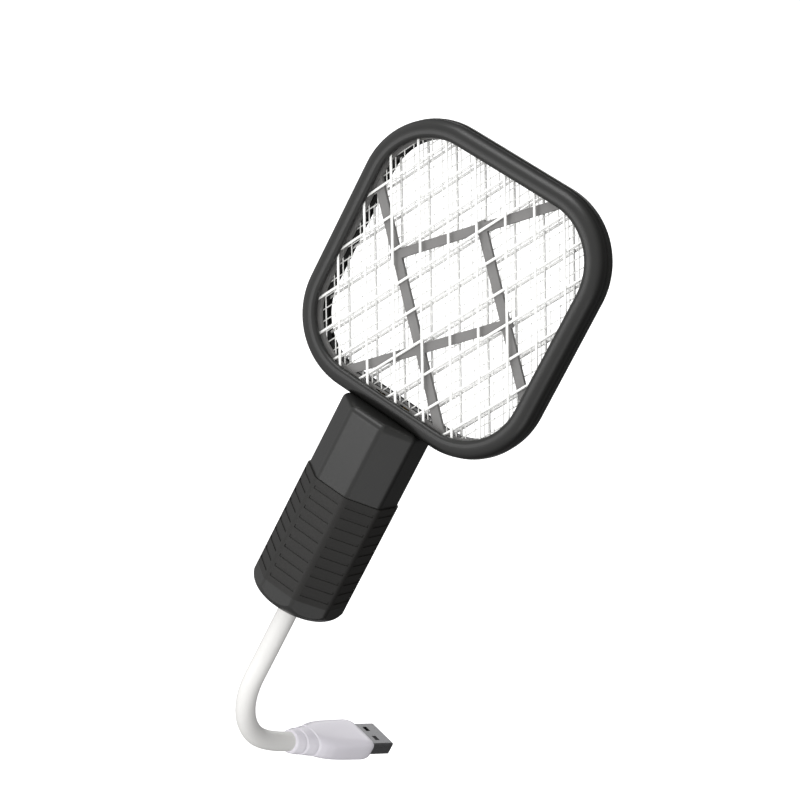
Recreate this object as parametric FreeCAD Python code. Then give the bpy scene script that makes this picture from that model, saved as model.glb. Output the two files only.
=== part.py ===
import FreeCAD, Part
import math
import os

# Electric fly swatter on a short bendable USB neck, in millimetres.
# +X is to the right, +Y to the back and +Z up along the handle, towards the head.
# The origin is on the handle's axis, at the middle of the ribbed grip.

Vec = FreeCAD.Vector

# Handle: an octagonal barrel, a ribbed grip below it and a domed cap at the end.
BARREL_FLATS = 28.0
BARREL_LENGTH = 24.5
BARREL_EDGE = 2.6
TOP_ROUND = 2.2
WALL = 2.0
GRIP_FLATS = 29.0
GRIP_LENGTH = 36.5
GRIP_EDGE = 2.8
CORE_FLATS = 25.6
CORE_EDGE = 2.3
CAP_HEIGHT = 7.0
CAP_END_R = 9.0
GROOVE_PITCH = 3.5
GROOVE_COUNT = 10
GROOVE_WIDTH = 1.0
GROOVE_DEPTH = 0.25
GROOVE_LENGTH = 9.6

GRIP_TOP = GRIP_LENGTH / 2
GRIP_BOTTOM = -GRIP_LENGTH / 2
BARREL_TOP = GRIP_TOP + BARREL_LENGTH
CAP_END = GRIP_BOTTOM - CAP_HEIGHT
SADDLE = 1.0

# Head: a rounded square ring made of a front and a rear half.
HEAD_WIDTH = 86.0
HEAD_HEIGHT = 88.6
HEAD_DEPTH = 12.0
HEAD_CORNER = 24.8
RIM_WIDTH = 6.0
BEAD = 0.35
BEAD_WIDTH = 0.6
RING_ROUND = 3.6
LIP_ROUND = 1.4
LIP_THICK = 1.9
SEAT_WIDTH = 2.6
SEAT_CORNER = 26.0
HEAD_Z = BARREL_TOP + HEAD_HEIGHT / 2

# Nets: round wires in two welded layers, drawn as square bars.
NET_ANGLE = 30.8
GUARD_PITCH = 10.9
GUARD_WIRE = 0.85
GUARD_WELD = 0.15
LIVE_PITCH = GUARD_PITCH / 3
LIVE_WIRE = 0.4
NET_REACH = 75.0
NET_CENTRE_Z = HEAD_Z + 0.9
NET_MARGIN = 0.2

# Spacer with its crossing ribs.
RIB_WIDTH = 2.9
RIB_THICK = 1.4
RIB_OFFSET = 20.8
RIB_REACH = 48.0
SPACER_DEPTH = 1.8
SPACER_PROUD = 0.2

# The stack between the lips, from the front: net, spacer, live net, ring, net.
GUARD_THICK = 2 * GUARD_WIRE - GUARD_WELD
FRONT_NET_Y = -HEAD_DEPTH / 2 + LIP_THICK
SPACER_Y = FRONT_NET_Y + GUARD_THICK
LIVE_NET_Y = SPACER_Y + SPACER_DEPTH
REAR_RING_Y = LIVE_NET_Y + 2 * LIVE_WIRE
REAR_NET_Y = HEAD_DEPTH / 2 - LIP_THICK - GUARD_THICK

# Tang that joins the head to the handle.
TANG_X = 7.2
TANG_Y = 5.2
TANG_BOTTOM = BARREL_TOP - 10.4
FOOT_X = 10.4
FOOT_Z = BARREL_TOP - 2 * WALL - 0.6
FOOT_HEIGHT = 2.4
LEAD_WAY = (2.8, 6.4, 3.2)
LEAD_WAY_TOP = HEAD_Z - HEAD_HEIGHT / 2 + SEAT_WIDTH + 0.3
FIT = 0.1
CLOSE_FIT = 0.05

# Metal strips that feed the nets.
TERMINAL_X = (3.6, 5.6)
TERMINAL_THICK = 0.4
TERMINAL_TOP = HEAD_Z - HEAD_HEIGHT / 2 + RIM_WIDTH - 0.4
TERMINAL_BOTTOM = TANG_BOTTOM + 1.0
TERMINAL_TAIL = 3.0

# Screws.
FRAME_SCREW_R = 0.8
FRAME_SCREW_LENGTH = 8.0
FRAME_HEAD_R = 1.3
FRAME_HEAD_HEIGHT = 1.0
FRAME_SCREW_INSET = 3.0
SHELL_SCREW_R = 1.0
SHELL_SCREW_LENGTH = 16.0
SHELL_HEAD_R = 1.9
SHELL_HEAD_HEIGHT = 1.5
SHELL_SEAT_Y = 7.4
BOSS_R = 2.5
UPPER_SCREW = (0.0, BARREL_TOP - 5.8)
LOWER_SCREWS = ((-7.0, GRIP_BOTTOM + 5.0), (7.0, GRIP_BOTTOM + 5.0))
HEAD_WELL_FIT = 0.2
PILOT_FIT = 0.02
PILOT_DEEPER = 0.4
SLOT_WIDTH = 0.4
SLOT_SHARE = 0.7

# Hollow of the handle: edge rounding lost to the wall, and room round the core.
INNER_EDGE_LOSS = 1.0
LOWER_ROOM = 0.4

# End cap: the dome's bulge, the lip inside the shells and the tube round the cable.
CAP_OVERHANG = 0.4
CAP_BULGE = (1.7, 2.6)
LIP_ROOM = 0.3
LIP_EDGE = 1.2
LIP_HEIGHT = 3.0
CAP_TUBE_WALL = 2.0
CAP_TUBE_TOP = GRIP_BOTTOM + 1.0
POST_ROOM = 0.3

# Push-button on the back of the barrel.
BUTTON_Z = GRIP_TOP + 8.6
BUTTON_WIDTH = 7.4
BUTTON_HEIGHT = 11.4
BUTTON_GAP = 0.3
BUTTON_PROUD = 0.2
DISH_DEPTH = 0.6
DISH_MARGIN = 1.6
FLANGE_MARGIN = 1.0
FLANGE_THICK = 1.0
FLANGE_CLEARANCE = 0.05
STEM_R = 1.5
BUTTON_ROUND = 0.8

# Circuit board and what is soldered to it.
BOARD_X = 9.0
BOARD_Y = 4.0
BOARD_THICK = 1.2
BOARD_BOTTOM = GRIP_BOTTOM + 9.5
BOARD_TOP = BARREL_TOP - 12.6
BOARD_BACK = BOARD_Y + BOARD_THICK
SWITCH_SIZE = 6.0
SWITCH_HEIGHT = 3.5
PLUNGER_R = 1.7
PLUNGER_PROUD = 0.9
PLUNGER_ROOT = 0.6
PLUNGER_WELL = (0.3, 1.4)
BOARD_ROUND = 0.8
REST_X = (BOARD_X - 1.2, BOARD_X + 0.8)
REST_HALF = 0.6
REST_PLACES = (BOARD_BOTTOM + 2.0, BOARD_TOP - 3.0)
TRANSFORMER_Z = GRIP_TOP - 5.5
CORE_X = 6.5
CORE_Y = (-4.0, 2.0)
CORE_HALF_Z = 5.5
LEG_X = 2.2
LIMB = 1.7
YOKE = 2.0
COIL_X = 4.6
COIL_FRONT = 2.2
COIL_ROUND = 1.2
STORAGE_X = 5.5
STORAGE_DEPTH = 6.5
STORAGE_Z = (BOARD_BOTTOM + 1.0, BOARD_BOTTOM + 9.5)
STORAGE_ROUND = 0.6
DISC_R = 2.5
DISC_THICK = 2.2
DISC_ROUND = 0.6
DISC_X = (-5.4, 0.0, 5.4)
DISC_Z = BOARD_TOP - 5.0
DIODE_R = 1.1
DIODE_HALF = 2.0
DIODE_X = (-6.6, -2.2, 2.2, 6.6)
DIODE_Z = BOARD_BOTTOM + 12.2
CASE_R = 2.4
CASE_HEIGHT = 4.6
CASE_FLAT = 1.3
CASE_X = -3.5
CASE_Z = BOARD_BOTTOM + 17.0
RESISTOR_R = 0.95
RESISTOR_X = (1.4, 5.2)
RESISTOR_Z = BOARD_BOTTOM + 3.0
RESISTOR_PITCH = 3.6

# Leads: radius, and the places where they turn and are soldered on.
LEAD_R = 0.6
SOLDER_Y = BOARD_Y - 0.7
NET_LEAD_START = BOARD_TOP - 1.2
NET_LEAD_TURN = (SOLDER_Y - 0.4, TERMINAL_BOTTOM - 2.6)
SUPPLY_X = (1.2, 3.0)
SUPPLY_Z = (BOARD_BOTTOM - 2.4, BOARD_BOTTOM - 1.0, BOARD_BOTTOM + 0.9)

# Flexible neck: a thick cable that leaves the cap straight down and turns back.
CABLE_R = 3.25
CABLE_BORE = 3.4
NECK_SIDE = 15.5
NECK_ROUTE = ((0.0, -13.0), (0.0, -60.1), (7.1, -72.4), (19.4, -79.5), (31.6, -79.5))
COLLAR_R = 4.6
COLLAR_LENGTH = 2.5
TURN_SHARE = 0.45

# USB-A plug on the end of the neck.
RELIEF_LENGTH = 10.5
RELIEF_R = (3.9, 4.4)
RELIEF_GROOVES = (3.5, 8.3)
RELIEF_GROOVE = 1.0
RELIEF_FLOOR = 3.4
BOOT_LENGTH = 24.5
BOOT_WIDTH = 15.6
BOOT_THICK = 7.6
BOOT_ROUND = 2.4
BOOT_BACK_ROUND = 1.9
BOOT_FRONT_ROUND = 0.7
SHELL_WIDTH = 12.0
SHELL_THICK = 4.5
SHELL_LENGTH = 10.5
SHELL_WALL = 0.3
SHELL_ROUND = 0.6
SHELL_INNER_ROUND = 0.35
SHELL_INSIDE = 5.0
WINDOW = (2.0, 2.4, 2.6, 3.4)
TONGUE_THICK = 1.9
TONGUE_GAP = 0.4
TONGUE_BACK = 0.5
CONTACT_PITCH = 2.3
CONTACT_WIDTH = 1.0
CONTACT_LENGTH = 7.4
CONTACT_THICK = 0.2
BOOT_START = RELIEF_LENGTH
BOOT_END = RELIEF_LENGTH + BOOT_LENGTH
SHELL_END = BOOT_END + SHELL_LENGTH


def box(x0, x1, y0, y1, z0, z1):
    """Return a box between two corners."""
    return Part.makeBox(x1 - x0, y1 - y0, z1 - z0, Vec(x0, y0, z0))


def rod(radius, start, end):
    """Return a cylinder between two points."""
    axis = end.sub(start)
    return Part.makeCylinder(radius, axis.Length, start, axis)


def crossbar(radius, x, z, y0, y1):
    """Return a cylinder that runs from front to back."""
    return rod(radius, Vec(x, y0, z), Vec(x, y1, z))


def edges_along(shape, axis):
    """Return the straight edges of a shape that run along an axis."""
    found = []
    for edge in shape.Edges:
        if edge.Curve.TypeId == "Part::GeomLine":
            if abs(edge.Curve.Direction.dot(axis)) > 0.999:
                found.append(edge)
    return found


def edges_at(shape, y, half_x):
    """Return the edges that lie at a depth y and within half_x of the middle."""
    found = []
    for edge in shape.Edges:
        limits = edge.BoundBox
        flat = abs(limits.YMin - y) < 1e-4 and abs(limits.YMax - y) < 1e-4
        inside = max(abs(limits.XMin), abs(limits.XMax)) < half_x
        if flat and inside:
            found.append(edge)
    return found


def rounded_slab(half_x, half_z, radius, y0, y1):
    """Return a slab in the head's outline: a square with round corners."""
    slab = box(-half_x, half_x, y0, y1, HEAD_Z - half_z, HEAD_Z + half_z)
    return slab.makeFillet(radius, edges_along(slab, Vec(0, 1, 0)))


def inset_slab(inset, radius, y0, y1):
    """Return a rounded slab that is smaller than the head all round."""
    return rounded_slab(HEAD_WIDTH / 2 - inset, HEAD_HEIGHT / 2 - inset, radius, y0, y1)


def octagon(flats, edge_radius, z0, z1):
    """Return an upright octagonal prism with rounded edges."""
    reach = flats / 2 / math.cos(math.pi / 8)
    corners = []
    for k in range(9):
        angle = math.pi / 8 + k * math.pi / 4
        corners.append(Vec(reach * math.cos(angle), reach * math.sin(angle), z0))
    prism = Part.Face(Part.makePolygon(corners)).extrude(Vec(0, 0, z1 - z0))
    return prism.makeFillet(edge_radius, edges_along(prism, Vec(0, 0, 1)))


def stadium(width, height, z, y0, y1):
    """Return a slab with round ends, standing on the handle's axis."""
    slab = box(-width / 2, width / 2, y0, y1, z - height / 2, z + height / 2)
    return slab.makeFillet(width / 2 - 0.02, edges_along(slab, Vec(0, 1, 0)))


def screw(x, z, seat_y, radius, length, head_radius, head_height):
    """Return a pan-head screw that was driven in from the back."""
    shank = crossbar(radius, x, z, seat_y - length, seat_y)
    head = crossbar(head_radius, x, z, seat_y, seat_y + head_height)
    half = SLOT_SHARE * SLOT_WIDTH / 2
    reach = SLOT_SHARE * head_radius
    top = seat_y + head_height
    slot = box(-half, half, top - SLOT_SHARE * head_height / 2, top, -reach, reach)
    cross = slot.copy()
    cross.rotate(Vec(0, 0, 0), Vec(0, 1, 0), 90)
    slot.translate(Vec(x, 0, z))
    cross.translate(Vec(x, 0, z))
    return shank.fuse(head).cut(slot.fuse(cross))


# ---- Head ----

def frame_screw_places():
    """Return the four corner places of the frame screws."""
    middle = HEAD_CORNER - FRAME_SCREW_INSET
    x = HEAD_WIDTH / 2 - HEAD_CORNER + middle * math.cos(math.pi / 4)
    z = HEAD_HEIGHT / 2 - HEAD_CORNER + middle * math.sin(math.pi / 4)
    return [(i * x, HEAD_Z + j * z) for i in (-1, 1) for j in (-1, 1)]


def tang_half(side):
    """Return the tongue of one frame half, with the foot that the handle holds."""
    near, far = sorted((0.0, side * TANG_Y))
    tang = box(-TANG_X, TANG_X, near, far, TANG_BOTTOM, BARREL_TOP + SADDLE)
    foot = box(-FOOT_X, FOOT_X, near, far, FOOT_Z, FOOT_Z + FOOT_HEIGHT)
    return tang.fuse(foot)


def lead_ways(side):
    """Return the two channels that carry the leads through the tang."""
    inner, outer, depth = LEAD_WAY
    near, far = sorted((0.0, side * depth))
    right = box(inner, outer, near, far, TANG_BOTTOM - 1, LEAD_WAY_TOP)
    left = box(-outer, -inner, near, far, TANG_BOTTOM - 1, LEAD_WAY_TOP)
    return right.fuse(left)


def frame_half(side):
    """Return one half of the head frame: -1 is the front, 1 is the rear."""
    face_y = side * HEAD_DEPTH / 2
    near, far = sorted((0.0, face_y))
    ring = inset_slab(BEAD, HEAD_CORNER - BEAD, near, far)
    ring = ring.makeFillet(RING_ROUND, edges_at(ring, face_y, HEAD_WIDTH))
    bead_near, bead_far = sorted((0.0, side * BEAD_WIDTH))
    ring = ring.fuse(inset_slab(0.0, HEAD_CORNER, bead_near, bead_far))
    ring = ring.cut(inset_slab(RIM_WIDTH, HEAD_CORNER - RIM_WIDTH, near, far))
    lip_edges = edges_at(ring, face_y, HEAD_WIDTH / 2 - RIM_WIDTH + 0.01)
    ring = ring.makeFillet(LIP_ROUND, lip_edges)
    seat_near, seat_far = sorted((0.0, face_y - side * LIP_THICK))
    ring = ring.cut(inset_slab(SEAT_WIDTH, SEAT_CORNER, seat_near, seat_far))
    half = ring.fuse(tang_half(side)).cut(lead_ways(side))
    x, z = UPPER_SCREW
    half = half.cut(crossbar(SHELL_SCREW_R + FIT, x, z, -HEAD_DEPTH, HEAD_DEPTH))
    return half


def head_front_frame():
    """Return the front half, with blind pilot holes for the screws."""
    half = frame_half(-1)
    tip = HEAD_DEPTH / 2 - LIP_THICK - FRAME_SCREW_LENGTH
    for x, z in frame_screw_places():
        half = half.cut(crossbar(FRAME_SCREW_R + PILOT_FIT, x, z, tip - PILOT_DEEPER, 0.0))
    return half.removeSplitter()


def head_rear_frame():
    """Return the rear half, with countersunk holes for the screws."""
    half = frame_half(1)
    seat = HEAD_DEPTH / 2 - LIP_THICK
    for x, z in frame_screw_places():
        half = half.cut(crossbar(FRAME_SCREW_R + FIT, x, z, 0.0, HEAD_DEPTH))
        half = half.cut(crossbar(FRAME_HEAD_R + FIT, x, z, seat, HEAD_DEPTH))
    return half.removeSplitter()


def frame_screws():
    """Return the four small screws that close the frame."""
    seat = HEAD_DEPTH / 2 - LIP_THICK
    screws = []
    for x, z in frame_screw_places():
        screws.append(screw(x, z, seat, FRAME_SCREW_R, FRAME_SCREW_LENGTH,
                            FRAME_HEAD_R, FRAME_HEAD_HEIGHT))
    return Part.makeCompound(screws)


def net_layer(lean, pitch, wire, y0, outline):
    """Return one layer of parallel wires, cut off at the net's outline."""
    wires = []
    steps = int(2 * NET_REACH / pitch)
    for step in range(-steps, steps + 1):
        bar = box(-wire / 2, wire / 2, y0, y0 + wire, -NET_REACH, NET_REACH)
        bar.rotate(Vec(0, 0, 0), Vec(0, 1, 0), lean * NET_ANGLE)
        bar.translate(Vec(step * pitch, 0, NET_CENTRE_Z))
        wires += bar.common(outline).Solids
    return wires


def guard_net(y0):
    """Return a guard net: two layers of wire, welded where they cross."""
    outline = inset_slab(SEAT_WIDTH + NET_MARGIN, SEAT_CORNER, -HEAD_DEPTH, HEAD_DEPTH)
    front = net_layer(-1, GUARD_PITCH, GUARD_WIRE, y0, outline)
    back = net_layer(1, GUARD_PITCH, GUARD_WIRE, y0 + GUARD_WIRE - GUARD_WELD, outline)
    return front[0].multiFuse(front[1:] + back)


def high_voltage_net():
    """Return the fine live net: two layers of thin wire that touch."""
    outline = inset_slab(SEAT_WIDTH + 2 * NET_MARGIN, SEAT_CORNER, -HEAD_DEPTH, HEAD_DEPTH)
    front = net_layer(-1, LIVE_PITCH, LIVE_WIRE, LIVE_NET_Y, outline)
    back = net_layer(1, LIVE_PITCH, LIVE_WIRE, LIVE_NET_Y + LIVE_WIRE, outline)
    return Part.makeCompound(front + back)


def spacer_ring(y0, y1):
    """Return a plain ring that lines the frame's opening."""
    outer = inset_slab(SEAT_WIDTH + NET_MARGIN, SEAT_CORNER, y0, y1)
    inset = RIM_WIDTH + SPACER_PROUD
    return outer.cut(inset_slab(inset, HEAD_CORNER - inset, y0, y1))


def rib(start, end):
    """Return one flat rib between two places, given from the head's centre."""
    run = Vec(end[0] - start[0], 0, end[1] - start[1])
    bar = box(-RIB_WIDTH / 2, RIB_WIDTH / 2, LIVE_NET_Y - RIB_THICK, LIVE_NET_Y, 0, run.Length)
    bar.rotate(Vec(0, 0, 0), Vec(0, 1, 0), math.degrees(math.atan2(run.x, run.z)))
    bar.translate(Vec(start[0], 0, HEAD_Z + start[1]))
    return bar


def rib_spacer():
    """Return the ring with four ribs that keeps the guard off the live net."""
    ring = spacer_ring(SPACER_Y, LIVE_NET_Y)
    beyond = RIB_REACH
    half = RIB_WIDTH / 2
    ribs = [
        rib((-beyond, beyond - RIB_OFFSET), (beyond - RIB_OFFSET, -beyond)),
        rib((-RIB_OFFSET - half, -half), (beyond - RIB_OFFSET, beyond)),
        rib((-half, RIB_OFFSET + half), (beyond, RIB_OFFSET - beyond)),
        rib((RIB_OFFSET + half, half), (RIB_OFFSET - beyond, -beyond)),
    ]
    outline = inset_slab(RIM_WIDTH, HEAD_CORNER - RIM_WIDTH, -HEAD_DEPTH, HEAD_DEPTH)
    for bar in ribs:
        ring = ring.fuse(bar.common(outline))
    for way in (-1, 1):
        ring = ring.cut(lead_ways(way))
    return ring.cut(terminal_room()).removeSplitter()


def terminal_room():
    """Return the notches that the terminals take out of the spacers."""
    inner, outer, depth = LEAD_WAY
    low = HEAD_Z - HEAD_HEIGHT / 2
    left = box(-outer, -inner, -depth, depth, low, low + RIM_WIDTH)
    right = box(inner, outer, -depth, depth, low, low + RIM_WIDTH)
    return left.fuse(right)


def rear_spacer():
    """Return the plain ring between the live net and the rear guard net."""
    return spacer_ring(REAR_RING_Y, REAR_NET_Y).cut(terminal_room()).removeSplitter()


def guard_terminal():
    """Return the forked strip that feeds both guard nets."""
    inner, outer = TERMINAL_X
    bend = TERMINAL_BOTTOM + TERMINAL_TAIL
    front = box(-outer, -inner, SPACER_Y, SPACER_Y + TERMINAL_THICK, bend, TERMINAL_TOP)
    rear = box(-outer, -inner, REAR_NET_Y - TERMINAL_THICK, REAR_NET_Y, bend, TERMINAL_TOP)
    bridge = box(-outer, -inner, SPACER_Y, REAR_NET_Y, bend, bend + TERMINAL_THICK)
    tail = box(-outer, -inner, -TERMINAL_THICK, 0, TERMINAL_BOTTOM, bend)
    return front.fuse(rear).fuse(bridge).fuse(tail).removeSplitter()


def live_terminal():
    """Return the straight strip that feeds the live net."""
    inner, outer = TERMINAL_X
    y = LIVE_NET_Y - TERMINAL_THICK
    return box(inner, outer, y, LIVE_NET_Y, TERMINAL_BOTTOM, TERMINAL_TOP)


# ---- Handle ----

def handle_outside():
    """Return the outer shape of both shells: barrel, and core under the grip."""
    top = BARREL_TOP + SADDLE
    barrel = octagon(BARREL_FLATS, BARREL_EDGE, GRIP_TOP, top)
    rim = [e for e in barrel.Edges if abs(e.BoundBox.ZMin - top) < 1e-4]
    barrel = barrel.makeFillet(TOP_ROUND, rim)
    core = octagon(CORE_FLATS, CORE_EDGE, GRIP_BOTTOM, GRIP_TOP + 1.0)
    return barrel.fuse(core)


def handle_inside():
    """Return the hollow of the handle and the slot for the tang."""
    upper_edge = BARREL_EDGE - INNER_EDGE_LOSS
    upper = octagon(BARREL_FLATS - 2 * WALL, upper_edge, GRIP_TOP, BARREL_TOP - WALL)
    lower_flats = CORE_FLATS - 2 * WALL + LOWER_ROOM
    lower_edge = CORE_EDGE - INNER_EDGE_LOSS
    lower = octagon(lower_flats, lower_edge, GRIP_BOTTOM - 1, GRIP_TOP + 1)
    slot_x = TANG_X + FIT
    slot_y = TANG_Y + FIT
    slot = box(-slot_x, slot_x, -slot_y, slot_y, BARREL_TOP - WALL - 1, BARREL_TOP + 3)
    saddle = inset_slab(BEAD - CLOSE_FIT, HEAD_CORNER, -HEAD_DEPTH / 2, HEAD_DEPTH / 2)
    rims = edges_at(saddle, -HEAD_DEPTH / 2, HEAD_WIDTH) + edges_at(saddle, HEAD_DEPTH / 2, HEAD_WIDTH)
    saddle = saddle.makeFillet(RING_ROUND, rims)
    bead_half = BEAD_WIDTH + CLOSE_FIT
    bead = inset_slab(-CLOSE_FIT, HEAD_CORNER, -bead_half, bead_half)
    return upper.fuse(lower).fuse(slot).fuse(saddle).fuse(bead)


def screw_places():
    """Return the places of the three shell screws."""
    return (UPPER_SCREW,) + LOWER_SCREWS


def shell_half(side):
    """Return one handle shell with its screw posts and board rests."""
    reach = BARREL_FLATS
    near, far = sorted((0.0, side * reach))
    outside = handle_outside()
    shell = outside.cut(handle_inside())
    posts = []
    for x, z in screw_places():
        start = side * (TANG_Y + FIT / 2) if (x, z) == UPPER_SCREW else 0.0
        posts.append(crossbar(BOSS_R, x, z, start, side * reach))
    rest_y = BOARD_Y if side < 0 else BOARD_BACK
    y0, y1 = sorted((rest_y, side * reach))
    for z in REST_PLACES:
        for way in (-1, 1):
            x0, x1 = sorted((way * REST_X[0], way * REST_X[1]))
            posts.append(box(x0, x1, y0, y1, z - REST_HALF, z + REST_HALF))
    for post in posts:
        shell = shell.fuse(post.common(outside))
    keep = box(-reach, reach, near, far, CAP_END, HEAD_Z)
    if side < 0:
        keep = keep.fuse(board_rest_room())
    shell = shell.common(keep)
    if side > 0:
        shell = shell.cut(board_rest_room())
    return shell


def board_rest_room():
    """Return the room of the front rests, which reach past the parting plane."""
    room = []
    for z in REST_PLACES:
        for way in (-1, 1):
            x0, x1 = sorted((way * REST_X[0], way * REST_X[1]))
            room.append(box(x0, x1, -FIT, BOARD_Y, z - REST_HALF, z + REST_HALF))
    return room[0].multiFuse(room[1:])


def handle_front_shell():
    """Return the front shell, with blind pilot holes in its posts."""
    shell = shell_half(-1)
    tip = SHELL_SEAT_Y - SHELL_SCREW_LENGTH
    for x, z in screw_places():
        shell = shell.cut(crossbar(SHELL_SCREW_R + PILOT_FIT, x, z, tip - PILOT_DEEPER, 1.0))
    return shell.removeSplitter()


def handle_rear_shell():
    """Return the rear shell, with screw holes and the window of the button."""
    shell = shell_half(1)
    back = BARREL_FLATS / 2
    for x, z in screw_places():
        shell = shell.cut(crossbar(SHELL_SCREW_R + FIT, x, z, -1.0, back + 1))
        shell = shell.cut(crossbar(SHELL_HEAD_R + HEAD_WELL_FIT, x, z, SHELL_SEAT_Y, back + 1))
    width = BUTTON_WIDTH + 2 * BUTTON_GAP
    height = BUTTON_HEIGHT + 2 * BUTTON_GAP
    window = stadium(width, height, BUTTON_Z, back - 2 * WALL, back + 1)
    margin = 2 * DISH_MARGIN
    dish = stadium(width + margin, height + margin, BUTTON_Z, back - DISH_DEPTH, back + 1)
    return shell.cut(window).cut(dish).removeSplitter()


def shell_screws():
    """Return the three screws that close the handle."""
    screws = []
    for x, z in screw_places():
        screws.append(screw(x, z, SHELL_SEAT_Y, SHELL_SCREW_R, SHELL_SCREW_LENGTH,
                            SHELL_HEAD_R, SHELL_HEAD_HEIGHT))
    return Part.makeCompound(screws)


def grip_sleeve():
    """Return the soft sleeve, with short grooves moulded across each of its flats."""
    sleeve = octagon(GRIP_FLATS, GRIP_EDGE, GRIP_BOTTOM, GRIP_TOP)
    sleeve = sleeve.cut(octagon(CORE_FLATS, CORE_EDGE, GRIP_BOTTOM - 1, GRIP_TOP + 1))
    grooves = []
    floor = GRIP_FLATS / 2 - GROOVE_DEPTH
    half = GROOVE_LENGTH / 2
    for ring in range(GROOVE_COUNT):
        z = (ring - (GROOVE_COUNT - 1) / 2) * GROOVE_PITCH
        for face in range(8):
            low = z - GROOVE_WIDTH / 2
            groove = box(floor, floor + 2, -half, half, low, low + GROOVE_WIDTH)
            groove.rotate(Vec(0, 0, 0), Vec(0, 0, 1), 45 * face)
            grooves.append(groove)
    return sleeve.cut(Part.makeCompound(grooves))


def end_cap():
    """Return the domed cap that closes the handle round the cable."""
    block = octagon(GRIP_FLATS, GRIP_EDGE, CAP_END, GRIP_BOTTOM)
    corner = GRIP_FLATS / 2 / math.cos(math.pi / 8) + CAP_OVERHANG
    shoulder = Vec(corner, 0, GRIP_BOTTOM)
    end = Vec(CAP_END_R, 0, CAP_END)
    middle = Vec(corner - CAP_BULGE[0], 0, CAP_END + CAP_BULGE[1])
    profile = Part.Wire([
        Part.Arc(shoulder, middle, end).toShape(),
        Part.makeLine(end, Vec(0, 0, CAP_END)),
        Part.makeLine(Vec(0, 0, CAP_END), Vec(0, 0, GRIP_BOTTOM)),
        Part.makeLine(Vec(0, 0, GRIP_BOTTOM), shoulder),
    ])
    dome = Part.Face(profile).revolve(Vec(0, 0, 0), Vec(0, 0, 1), 360)
    cap = block.common(dome)
    lip_flats = CORE_FLATS - 2 * WALL + LIP_ROOM
    room_r = lip_flats / 2 - WALL
    floor = CAP_END + WALL
    room = Part.makeCone(CAP_END_R - WALL, room_r, GRIP_BOTTOM - floor,
                         Vec(0, 0, floor), Vec(0, 0, 1))
    lip_low = GRIP_BOTTOM - 0.5
    lip = octagon(lip_flats, LIP_EDGE, lip_low, GRIP_BOTTOM + LIP_HEIGHT)
    lip_room = rod(room_r, Vec(0, 0, lip_low), Vec(0, 0, GRIP_BOTTOM + LIP_HEIGHT + 1))
    tube = rod(CABLE_R + CAP_TUBE_WALL, Vec(0, 0, CAP_END + 1), Vec(0, 0, CAP_TUBE_TOP))
    cap = cap.fuse(lip).cut(room).cut(lip_room).fuse(tube)
    for x, z in LOWER_SCREWS:
        cap = cap.cut(crossbar(BOSS_R + POST_ROOM, x, z, -BARREL_FLATS, BARREL_FLATS))
    bore = rod(CABLE_BORE, Vec(0, 0, CAP_END - 1), Vec(0, 0, CAP_TUBE_TOP + 1))
    return cap.cut(bore).removeSplitter()


# ---- Button and board ----

def power_button():
    """Return the button: a crowned oval cap, a hidden flange and a stem."""
    wall_inside = BARREL_FLATS / 2 - WALL
    top = BARREL_FLATS / 2 + BUTTON_PROUD
    flange_top = wall_inside - FLANGE_CLEARANCE
    cap = stadium(BUTTON_WIDTH, BUTTON_HEIGHT, BUTTON_Z, flange_top - 0.1, top)
    rim = edges_at(cap, top, BARREL_FLATS)
    cap = cap.makeFillet(BUTTON_ROUND, rim)
    wide = BUTTON_WIDTH + 2 * FLANGE_MARGIN
    tall = BUTTON_HEIGHT + 2 * FLANGE_MARGIN
    flange = stadium(wide, tall, BUTTON_Z, flange_top - FLANGE_THICK, flange_top)
    stem_end = BOARD_BACK + SWITCH_HEIGHT + PLUNGER_PROUD
    stem = crossbar(STEM_R, 0, BUTTON_Z, stem_end, flange_top - 0.1)
    return cap.fuse(flange).fuse(stem).removeSplitter()


def circuit_board():
    """Return the bare board."""
    board = box(-BOARD_X, BOARD_X, BOARD_Y, BOARD_BACK, BOARD_BOTTOM, BOARD_TOP)
    return board.makeFillet(BOARD_ROUND, edges_along(board, Vec(0, 1, 0)))


def push_switch():
    """Return the body of the switch under the button."""
    half = SWITCH_SIZE / 2
    top = BOARD_BACK + SWITCH_HEIGHT
    body = box(-half, half, BOARD_BACK, top, BUTTON_Z - half, BUTTON_Z + half)
    gap, well = PLUNGER_WELL
    return body.cut(crossbar(PLUNGER_R + gap, 0, BUTTON_Z, top - well, top + 1))


def switch_plunger():
    """Return the switch's plunger, which the button's stem pushes."""
    top = BOARD_BACK + SWITCH_HEIGHT
    return crossbar(PLUNGER_R, 0, BUTTON_Z, top - PLUNGER_ROOT, top + PLUNGER_PROUD)


def transformer_core():
    """Return the ferrite core: a frame with a middle leg."""
    y0, y1 = CORE_Y
    core = box(-CORE_X, CORE_X, y0, y1, TRANSFORMER_Z - CORE_HALF_Z, TRANSFORMER_Z + CORE_HALF_Z)
    low = TRANSFORMER_Z - CORE_HALF_Z + YOKE
    high = TRANSFORMER_Z + CORE_HALF_Z - YOKE
    for x in (-1, 1):
        x0, x1 = sorted((x * LEG_X, x * (CORE_X - LIMB)))
        core = core.cut(box(x0, x1, y0 - 1, y1 + 1, low, high))
    return core


def transformer_coil():
    """Return the winding on its bobbin, round the middle leg."""
    y0, y1 = CORE_Y
    half = CORE_HALF_Z - YOKE - FIT
    low = TRANSFORMER_Z - half
    high = TRANSFORMER_Z + half
    coil = box(-COIL_X, COIL_X, y0 - COIL_FRONT, BOARD_Y, low, high)
    coil = coil.makeFillet(COIL_ROUND, edges_along(coil, Vec(0, 0, 1)))
    leg = LEG_X + CLOSE_FIT
    return coil.cut(box(-leg, leg, y0 - CLOSE_FIT, y1 + CLOSE_FIT, low - 1, high + 1))


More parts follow.
